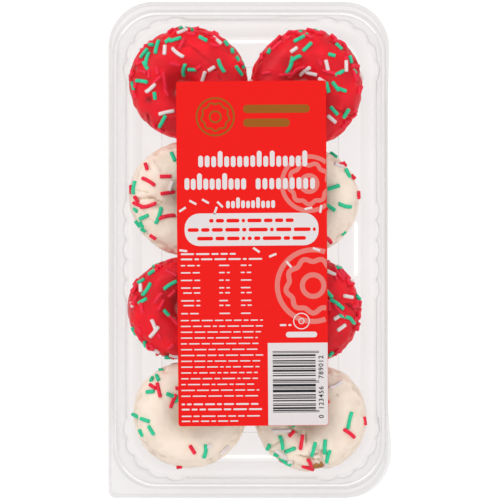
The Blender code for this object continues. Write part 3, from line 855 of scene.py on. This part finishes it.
def near_marks(doughnut):
    """The dents and cracks on this doughnut, in metres."""
    centre = Vector((doughnut.x, doughnut.y)) * MM
    dents, cracks = [], []
    for x, y, half, depth in DENTS:
        place = photo_point(x, y)
        if (place - centre).length < MARKS_WITHIN:
            dents.append((place, half * PIXEL, depth * MM))
    for x0, y0, x1, y1, half, depth in CRACKS:
        start, end = photo_point(x0, y0), photo_point(x1, y1)
        if (start - centre).length < MARKS_WITHIN:
            cracks.append((start, end, half * PIXEL, depth * MM))
    return dents, cracks


def edge_back(number, turn):
    """How far the icing's outer edge stands back here, in degrees of the section."""
    x, y = math.cos(turn), math.sin(turn)
    back = 0
    for chipped, direction, half, deepest in CHIPS:
        if chipped == number:
            away = (math.degrees(turn) - direction + 180) % 360 - 180
            ragged = 1 + CHIP_RAGGED * noise.noise(Vector((x, y, number)) * CHIP_GRAIN)
            back += deepest * math.exp(-((away / half) ** 4)) * ragged
    wander = noise.noise(Vector((x * EDGE_WAVES, y * EDGE_WAVES, number * WAVES_APART)))
    return back + EDGE_WANDER * wander


def evenly(first, last, steps):
    return [first + (last - first) * i / steps for i in range(steps + 1)]


def icing_section(number, turn):
    """The icing's section here, as (level, shrink) pairs: over its outside, then back inside."""
    first, last = ICING_EDGE_LEVELS
    first += edge_back(number, turn)
    outside = evenly(first, last, ICING_STEPS)
    inside = evenly(last - INSIDE_MARGIN, first + INSIDE_MARGIN, INSIDE_STEPS)
    return [(level, 0) for level in outside] + [(level, ICING_THICKNESS) for level in inside]


def lumps_at(point, seed, level):
    """How high the skin's lumps stand here in millimetres, with a ragged outer side."""
    height = sum(noise.noise(point * scale + seed) * high for scale, high in LUMPS)
    outer_side = 1 - smooth_step(RAGGED_BELOW - RAGGED_FADE, RAGGED_BELOW, level)
    height += noise.noise(point * RAGGED[0] - seed) * RAGGED[1] * outer_side
    return height - max(height - MOST_OUTWARD, 0) * outer_side


def make_icing(number, doughnut, surface):
    """The icing: a skin with soft lumps, its marks, and an edge that wanders."""
    bm = ring_mesh(doughnut, lambda turn: icing_section(number, turn))
    seed = Vector((doughnut.seed, 0, 0))
    dents, cracks = near_marks(doughnut)
    levels = evenly(*ICING_EDGE_LEVELS, ICING_STEPS)
    per_row = ICING_STEPS + INSIDE_STEPS + 2
    painted_shade = [0] * len(bm.verts)
    for index, vert in enumerate(bm.verts):
        at = index % per_row
        if at > ICING_STEPS:
            continue
        lumps = lumps_at(vert.co, seed, levels[at])
        deep = marks_depth(Vector((vert.co.x, vert.co.y)), dents, cracks)
        from_edge = min(at, ICING_STEPS - at) / EDGE_FADE_STEPS
        vert.co += vert.normal * max(lumps * MM - deep, -DEEPEST_MARK) * min(from_edge, 1)
        # Painted shade: how much darker the icing is painted, deep in a mark or in a hollow of its
        # lumps
        painted_shade[index] = min(max(deep / SHADE_DARKEST_AT, 0) + max(-lumps, 0) * HOLLOWS_SHADE, 1)
    slot, node = f"{doughnut.icing}_icing", f"doughnut_{number}_icing"
    made = finish_piece(f"icing_{number}", bm, surface, BASE, slot, node)
    made.data.attributes.new(PAINTED_SHADE_ATTRIBUTE, "FLOAT", "POINT").data.foreach_set("value", painted_shade)
    return made


def make_cake(number, doughnut, surface):
    """The cake under the icing, with a crumbly crust."""
    section = [(level, CAKE_SHRINK) for level in evenly(*CAKE_TOP_LEVELS, CAKE_STEPS)]
    for level in evenly(*CAKE_UNDER_LEVELS, CAKE_STEPS):
        section.append((level, CAKE_UNDERSIDE_SHRINK))
    bm = ring_mesh(doughnut, lambda turn: section)
    seed = Vector((0, doughnut.seed, 0))
    for vert in bm.verts:
        crumbs = sum(noise.noise(vert.co * scale + seed) * high for scale, high in CRUMBS)
        vert.co += vert.normal * (crumbs - CRUMBS_LOWERED) * MM
    finish_piece(f"cake_{number}", bm, surface, BASE, "cake", f"doughnut_{number}_cake")


def falling(doughnut, lot):
    """Sprinkles that fall in the doughnut's groups: a point over it, a heading and a length."""
    draw = random.Random(doughnut.seed * lot.seed)
    for direction, spread, count in doughnut.groups:
        for _ in range(round(count * lot.share[doughnut.icing])):
            turn = math.radians(direction + draw.gauss(0, spread * SPREAD_TO_SIGMA))
            point = section_point(doughnut, turn, draw.uniform(*lot.levels), 0)
            yield point, draw.uniform(0, math.pi), draw.uniform(*lot.lengths)


def spaced(doughnut, lot, fallen=()):
    """Those of a lot that keep their distance from each other and from those that fell before."""
    kept = []
    for sprinkle in falling(doughnut, lot):
        if all((sprinkle[0] - other[0]).length > lot.spacing for other in (*fallen, *kept)):
            kept.append(sprinkle)
    return kept


def lying_sprinkles(doughnut):
    """The long ones, longest first, and then the shorter ones."""
    fallen = sorted(spaced(doughnut, LONG), key=lambda sprinkle: -sprinkle[2])
    return fallen + spaced(doughnut, SHORT, fallen)


def has_room(doughnut, ends):
    """Whether both ends of a sprinkle are clear of the wall and of the other doughnuts."""
    for end in ends:
        in_x = CLEAR_OF_WALL - WALL_LINE.left < end.x < WALL_LINE.right - CLEAR_OF_WALL
        in_y = CLEAR_OF_WALL - WALL_LINE.near < end.y < WALL_LINE.far - CLEAR_OF_WALL
        others = (other for other in DOUGHNUTS if other is not doughnut)
        meets = any(over_icing(other, end, -CLEAR_OF_DOUGHNUT) for other in others)
        if meets or not (in_x and in_y):
            return False
    return True


def over_icing(doughnut, point, margin=EDGE_MARGIN):
    away = Vector((point.x, point.y)) - Vector((doughnut.x, doughnut.y)) * MM
    turn = math.atan2(away.y / doughnut.half_y, away.x / doughnut.half_x)
    edge = Vector((doughnut.half_x * math.cos(turn), doughnut.half_y * math.sin(turn)))
    reach = edge.length * MM * outline_share(doughnut, turn) - margin
    from_hole = away - Vector((doughnut.hole_x, doughnut.hole_y)) * MM
    return away.length < reach and from_hole.length > HOLE_RADIUS + margin


def lie_on(surface, point, heading, length):
    """A frame on the surface nearest the point, lifted so that the sprinkle bears on its ends."""
    place, normal, _, _ = surface.find_nearest(point)
    along = Vector((math.cos(heading), math.sin(heading), 0))
    along = (along - normal * along.dot(normal)).normalized()
    sunk = 0
    for end in (place + along * length / 2, place - along * length / 2):
        depth = surface.ray_cast(end + normal * PROBE_HEIGHT, -normal)[3]
        if depth is not None:
            sunk = max(sunk, PROBE_HEIGHT - depth)
    made = Matrix((along, normal.cross(along), normal)).transposed().to_4x4()
    made.translation = place + normal * (sunk + SPRINKLE_RAISED)
    return made


def add_sprinkle(bm, place, length, bend):
    """A sugar rod with softened ends, bent sideways in its middle."""
    rings = []
    for share, width in ROD_PROFILE:
        middle = Vector((share * length / 2, bend * length * (1 - share * share), 0))
        ring = []
        for side in range(SPRINKLE_SIDES):
            turn = 2 * math.pi * side / SPRINKLE_SIDES
            around = Vector((0, math.cos(turn), math.sin(turn))) * SPRINKLE_RADIUS * width
            ring.append(bm.verts.new(place @ (middle + around)))
        rings.append(ring)
    for ring, after in zip(rings, rings[1:]):
        join_rings(bm, ring, after)
    bm.faces.new(rings[0])
    bm.faces.new(rings[-1])


def surface_of(piece):
    return BVHTree.FromPolygons(
        [vertex.co for vertex in piece.data.vertices],
        [polygon.vertices for polygon in piece.data.polygons],
    )


def ends_of(place, half_length):
    half = place.to_3x3() @ Vector((half_length, 0, 0))
    return place.translation + half, place.translation - half


def scatter_on(doughnut, surface, meshes):
    """The sprinkles that lie on one doughnut's icing, then those that stick out round it."""
    draw = random.Random(doughnut.seed * KIND_SEED)
    for point, heading, length in lying_sprinkles(doughnut):
        place = lie_on(surface, point, heading, length)
        kind = draw.choices(SUGARS, SUGAR_WEIGHTS[doughnut.icing])[0]
        bend = draw.uniform(-1, 1) * SPRINKLE_BEND if length > BENT_FROM else 0
        ends = ends_of(place, length / 2 + SPRINKLE_RADIUS)
        if all(over_icing(doughnut, end) for end in ends):
            add_sprinkle(meshes[kind], place, length, bend)
    for point, heading, length in falling(doughnut, OUTER):
        place = lie_on(surface, point, heading, length)
        kind = draw.choices(SUGARS, OUTER_SUGAR_WEIGHTS[doughnut.icing])[0]
        if has_room(doughnut, ends_of(place, length / 2)):
            add_sprinkle(meshes[kind], place, length, 0)


def scatter_sprinkles(icings, surfaces):
    """All the sprinkles, one piece for each colour."""
    meshes = {kind: bmesh.new() for kind in surfaces}
    for doughnut, piece in zip(DOUGHNUTS, icings):
        scatter_on(doughnut, surface_of(piece), meshes)
    for kind, bm in meshes.items():
        finish_piece(
            f"sprinkles_{kind}", bm, surfaces[kind], BASE, f"{kind}_sugar", sharp_from=50
        )


# Print: flat shapes of ink
def on_label(right, down):
    x = (min(right, INK_RIGHT) - LABEL_SIZE[0] / 2) * MM
    y = (LABEL_SIZE[1] / 2 - min(down, INK_FOOT)) * MM
    cos, sin = math.cos(LABEL_TURN), math.sin(LABEL_TURN)
    return (LABEL_CENTRE[0] + x * cos - y * sin, LABEL_CENTRE[1] + x * sin + y * cos)


def ink_heights(layer):
    """Where a layer of ink starts, inside the label, and how high it reaches."""
    return LABEL_TOP_Z - INK_THICKNESS / 2, LABEL_TOP_Z + INK_THICKNESS * (1 + layer) / 2


def add_plate(bm, corners, layer=PLAIN):
    """A thin plate of ink through these corners, given in order."""
    low, high = ink_heights(layer)
    spots = [on_label(*corner) for corner in corners]
    top = [bm.verts.new((*spot, high)) for spot in spots]
    bottom = [bm.verts.new((*spot, low)) for spot in spots]
    bm.faces.new(top)
    bm.faces.new(bottom[::-1])
    for i in range(len(top)):
        j = (i + 1) % len(top)
        bm.faces.new((top[i], bottom[i], bottom[j], top[j]))


def quarter_turn(quarter=0):
    return [math.pi / 2 * (quarter + step / CORNER_STEPS) for step in range(CORNER_STEPS + 1)]


def pill(bm, left, top, right, bottom, layer=PLAIN, corner=None):
    """A bar with rounded ends, or with corners rounded by this radius."""
    radius = min(right - left, bottom - top) / 2 if corner is None else corner
    centres = (
        (right - radius, top + radius), (left + radius, top + radius),
        (left + radius, bottom - radius), (right - radius, bottom - radius),
    )
    corners = []
    for quarter, (x, y) in enumerate(centres):
        for turn in quarter_turn(quarter):
            corners.append((x + radius * math.cos(turn), y - radius * math.sin(turn)))
    add_plate(bm, corners, layer)


def dash(bm, x, y, heading, length, width):
    """A short slanted bar, as a printed sprinkle."""
    turn = math.radians(heading)
    along = Vector((math.cos(turn), math.sin(turn))) * length / 2
    across = Vector((-math.sin(turn), math.cos(turn))) * width / 2
    middle = Vector((x, y))
    corners = (
        middle - along - across, middle - along + across,
        middle + along + across, middle + along - across,
    )
    add_plate(bm, [tuple(corner) for corner in corners])


def stroke(bm, path, width, layer=PLAIN):
    """A closed line of even width along a path, cut off where the label ends."""
    sides = []
    for before, point, after in zip(path[-1:] + path[:-1], path, path[1:] + path[:1]):
        along = (Vector(after) - Vector(before)).normalized()
        across = Vector((-along.y, along.x)) * width / 2
        sides.append((Vector(point) + across, Vector(point) - across))
    run = []
    for pair in sides + sides[:1]:
        if min(pair[0].x, pair[1].x) < INK_RIGHT:
            run.append(pair)
        else:
            add_run(bm, run, layer)
            run = []
    add_run(bm, run, layer)


def add_run(bm, run, layer):
    """One plate along a run of side pairs."""
    if len(run) < 2:
        return
    low, high = ink_heights(layer)
    whole = (run[0][0] - run[-1][0]).length < TINY
    pairs = run[:-1] if whole else run
    columns = []
    for left, right in pairs:
        first, second = on_label(*left), on_label(*right)
        columns.append([
            bm.verts.new((*first, high)), bm.verts.new((*second, high)),
            bm.verts.new((*second, low)), bm.verts.new((*first, low)),
        ])
    following = columns[1:] + (columns[:1] if whole else [])
    for column, after in zip(columns, following):
        join_rings(bm, column, after)
    if not whole:
        bm.faces.new(columns[0])
        bm.faces.new(columns[-1][::-1])


def circle(x, y, radius, wave=0):
    """Points round a circle, wavy if asked."""
    made = []
    for step in range(CIRCLE_STEPS):
        turn = math.radians(360 * step / CIRCLE_STEPS)
        reach = radius + wave * math.sin(RING_WAVES * turn)
        made.append((x + reach * math.cos(turn), y + reach * math.sin(turn)))
    return made


def word_bars(bm, left, right, middle, height, draw, words=WORDS, layer=PLAIN):
    """A row of bars where a line of small print would be."""
    shortest, longest, gap = words
    at = left
    while at < right - LAST_WORD:
        length = min(draw.uniform(shortest, longest), right - at)
        pill(bm, at, middle - height / 2, at + length, middle + height / 2, layer)
        at += length + gap


def title_bars(bm, left, right, base, height, pitch, draw):
    """Upright rounded bars of uneven height, in place of a line of large print."""
    count = round((right - left) / pitch)
    for i in range(count):
        tall = draw.choice(TITLE_HEIGHTS)
        x = left + (right - left) * i / count
        pill(bm, x, base - height * tall, x + pitch * TITLE_STROKE, base)


def ring_motif(bm, x, y, radius, width, layer=PLAIN):
    """An iced ring doughnut in outline, cut off where the label ends."""
    stroke(bm, circle(x, y, radius), width, layer)
    stroke(bm, circle(x, y, radius * RING_HOLE), width, layer)
    stroke(bm, circle(x, y, radius * RING_ICING, radius * RING_WAVE), width, layer)


def print_heading(gold, white, draw):
    """A plain ring and two bars at the top, then the large print."""
    ring_motif(gold, 18.0, 16.4, 8.6, 0.85)
    pill(gold, 30.8, 11.0, 61.6, 14.8)
    pill(gold, 30.8, 17.4, 52.4, 21.2)
    for line in TITLE_LINES:
        title_bars(white, *line, draw)


def print_panel(white, red, draw):
    """The panel with three lines in red, and printed sprinkles round it."""
    pill(white, *PANEL_BAR, corner=PANEL_RADIUS)
    for left, right, middle in PANEL_LINES:
        word_bars(red, left, right, middle, 1.7, draw, LARGER_WORDS, OVER)
    for x, y, heading in DASHES:
        dash(white, x, y, heading, *DASH_SIZE)


def print_small_lines(white, draw):
    """Small print: a table and a block of lines."""
    for line in FIRST_LINES:
        word_bars(white, *line, draw)
    for row, middle in enumerate(TABLE_ROWS):
        left = 2.6 if row in ROWS_STOOD_IN else 1.6
        word_bars(white, left, 10.5, middle, 0.6, draw, LONGER_WORDS)
        for left in (19.2, 29.2):
            word_bars(white, left, left + 5.0, middle, 0.6, draw, SHORTER_WORDS)
    for line in range(TEXT_LINES):
        right = draw.uniform(*TEXT_RIGHT)
        word_bars(white, 1.4, right, TEXT_TOP + TEXT_PITCH * line, 0.55, draw)
    for line in LAST_LINES:
        word_bars(white, *line, draw)


def print_code(white, ink, draw):
    """A small ring and a bold bar, and under them the bar code's panel, bars and numbers."""
    stroke(white, circle(57.0, 110.8, 3.6), 0.45)
    stroke(white, circle(57.0, 110.8, 1.2), 0.4)
    word_bars(white, 47.0, 52.4, 112.6, 0.9, draw)
    pill(white, 49.8, 115.7, 64.2, 118.3)
    left, top = CODE_PANEL
    corners = [(left, INK_FOOT), (left, top), (INK_RIGHT, top)]
    for turn in quarter_turn():
        right = INK_RIGHT - LABEL_CORNER * (1 - math.cos(turn))
        corners.append((right, INK_FOOT - LABEL_CORNER * (1 - math.sin(turn))))
    add_plate(white, corners)
    make_bar_code(ink, draw)
    for number, down in NUMBERS:
        add_number(ink, number, NUMBERS_RIGHT, down)


def make_print(surfaces):
    inks = {name: bmesh.new() for name in surfaces}
    white, gold, coral, ink, red = (inks[name] for name in INK_SLOTS)
    draw = random.Random(5)
    print_heading(gold, white, draw)
    print_panel(white, red, draw)
    ring_motif(coral, 62.5, 94.5, 16.5, 2.3, BEHIND)
    ring_motif(coral, 61.0, 47.5, 12.5, 2.0, BEHIND)
    print_small_lines(white, draw)
    print_code(white, ink, draw)
    for name, bm in inks.items():
        finish_piece(name, bm, surfaces[name], LID, INK_SLOTS[name], sharp_from=30)


def add_bar(bm, right, top, modules):
    foot = top + modules * CODE_MODULE
    add_plate(bm, ((CODE_LEFT, top), (right, top), (right, foot), (CODE_LEFT, foot)), OVER)


def make_bar_code(bm, draw):
    """Bars and spaces of one to four modules, two of each to a number, between longer guards."""
    at = CODE_TOP
    for group in range(3):
        for _ in range(2):
            add_bar(bm, GUARDS_RIGHT, at, 1)
            at += 2 * CODE_MODULE
        if group == 2:
            break
        for _ in range(6):
            cuts = [0, *sorted(draw.sample(range(1, MODULES), 3)), MODULES]
            for index, (low, high) in enumerate(zip(cuts, cuts[1:])):
                if index % 2:
                    add_bar(bm, BARS_RIGHT, at, high - low)
                at += (high - low) * CODE_MODULE


def add_number(bm, text, right, down):
    """Plain numbers that read up the label's side."""
    curve = bpy.data.curves.new("number", "FONT")
    curve.body = text
    curve.size = NUMBER_HEIGHT * FONT_TO_HEIGHT
    curve.space_character = NUMBER_SPACING
    curve.extrude = INK_THICKNESS / 2
    curve.resolution_u = 3
    curve.offset = NUMBER_WEIGHT
    lettering = add_to_scene(bpy.data.objects.new("number", curve))
    graph = bpy.context.evaluated_depsgraph_get()
    mesh = bpy.data.meshes.new_from_object(lettering.evaluated_get(graph))
    place = Matrix.Translation((*on_label(right, down), LABEL_TOP_Z + NUMBER_RAISED))
    mesh.transform(place @ Matrix.Rotation(math.pi / 2 + LABEL_TURN, 4, "Z"))
    bm.from_mesh(mesh)
    bmesh.ops.remove_doubles(bm, verts=bm.verts, dist=TINY)
    bpy.data.objects.remove(lettering)
    bpy.data.curves.remove(curve)
    bpy.data.meshes.remove(mesh)


# Stage
def make_floor():
    surface, tree, shader = new_material("floor_white", roughness=0.9, specular=0)
    set_colour_and_glow(tree, shader, FLOOR_WHITE, FLOOR_GLOW)
    bm = bmesh.new()
    bmesh.ops.create_grid(bm, x_segments=1, y_segments=1, size=FLOOR_HALF)
    floor = new_object("floor", bm, [surface])
    floor.location.z = cad_box[0][2] - FLOOR_DROP


def add_light(name, place, power):
    data = bpy.data.lights.new(name, "AREA")
    data.shape = "RECTANGLE"
    data.size, data.size_y = LIGHT_SIZE
    data.energy = power
    lamp = add_to_scene(bpy.data.objects.new(name, data))
    lamp.location = place
    lamp.rotation_euler = (-Vector(place)).to_track_quat("-Z", "Y").to_euler()


def make_world():
    world = bpy.data.worlds.new("studio")
    world.use_nodes = True
    background = world.node_tree.nodes["Background"]
    background.inputs["Color"].default_value = (1, 1, 1, 1)
    background.inputs["Strength"].default_value = WORLD_STRENGTH
    bpy.context.scene.world = world


def make_camera():
    data = bpy.data.cameras.new("camera")
    data.sensor_width = SENSOR
    data.lens = SENSOR * (CAMERA_Z - MIDDLE_Z) / (IMAGE_PIXELS * PIXEL)
    data.clip_end = VIEW_DEPTH
    camera = add_to_scene(bpy.data.objects.new("camera", data))
    camera.location = (*CAMERA_AIM, CAMERA_Z)
    bpy.context.scene.camera = camera


def make_box():
    looks = (
        clear_plastic("clear_sheet", SHEET_GREY, 0.004, 0.2),
        clear_plastic("clear_faint", SHEET_HAZE, 0.045, 0.2),
        clear_plastic("clear_hazy", SHEET_HAZE, 0.08, 0.25),
        # Painted shade: the greyer rim and the grey lines in the finest bends
        clear_plastic("clear_greyer", SHEET_PAINTED_SHADE, 0.11, 0.28),
        clear_plastic("clear_shaded", SHEET_PAINTED_SHADE, 0.14, 0.3),
        # Painted highlight: a bend that glows
        clear_plastic("clear_painted_highlight", SHEET_HIGHLIGHT, 0.5, 0.6, HIGHLIGHT_GLOW),
    )
    make_tray(looks)
    make_lid(looks)


def make_doughnuts():
    surfaces = {
        "red": icing("icing_red", RED_ICING, 0.7, RED_PAINTED_SHADE, RED_SCATTER),
        "white": icing("icing_white", WHITE_ICING, 0.94, WHITE_PAINTED_SHADE, WHITE_SCATTER),
    }
    crust = mottled(
        "cake_crust", CRUST, 0.6, roughness=0.8, scale=260, bump_scale=1500, bump_depth=0.0003,
        specular=0.25,
    )
    icings = []
    for number, doughnut in enumerate(DOUGHNUTS, 1):
        make_cake(number, doughnut, crust)
        icings.append(make_icing(number, doughnut, surfaces[doughnut.icing]))
    scatter_sprinkles(icings, {
        "green": sugar("sugar_green", GREEN, 0.86),
        "white": sugar("sugar_white", WHITE_SUGAR, 0.93),
        "crimson": sugar("sugar_crimson", CRIMSON, 0.86),
    })


def make_label():
    paper = label_paper("paper_red", LABEL_RED, LABEL_BACK)
    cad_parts["label"].material_slots[0].material = paper
    make_print({
        "print_white": printed("ink_white", OFF_WHITE),
        "print_gold": printed("ink_gold", BROWN_GOLD),
        "print_coral": printed("ink_coral", CORAL),
        "print_ink": printed("ink_black", INK, 0.9),
        "print_red": printed("ink_red", LABEL_RED),
    })


def build():
    bpy.context.scene.view_settings.view_transform = "Standard"
    make_camera()
    make_world()
    for light in LIGHTS:
        add_light(*light)
    make_floor()
    make_box()
    make_doughnuts()
    make_label()


build()
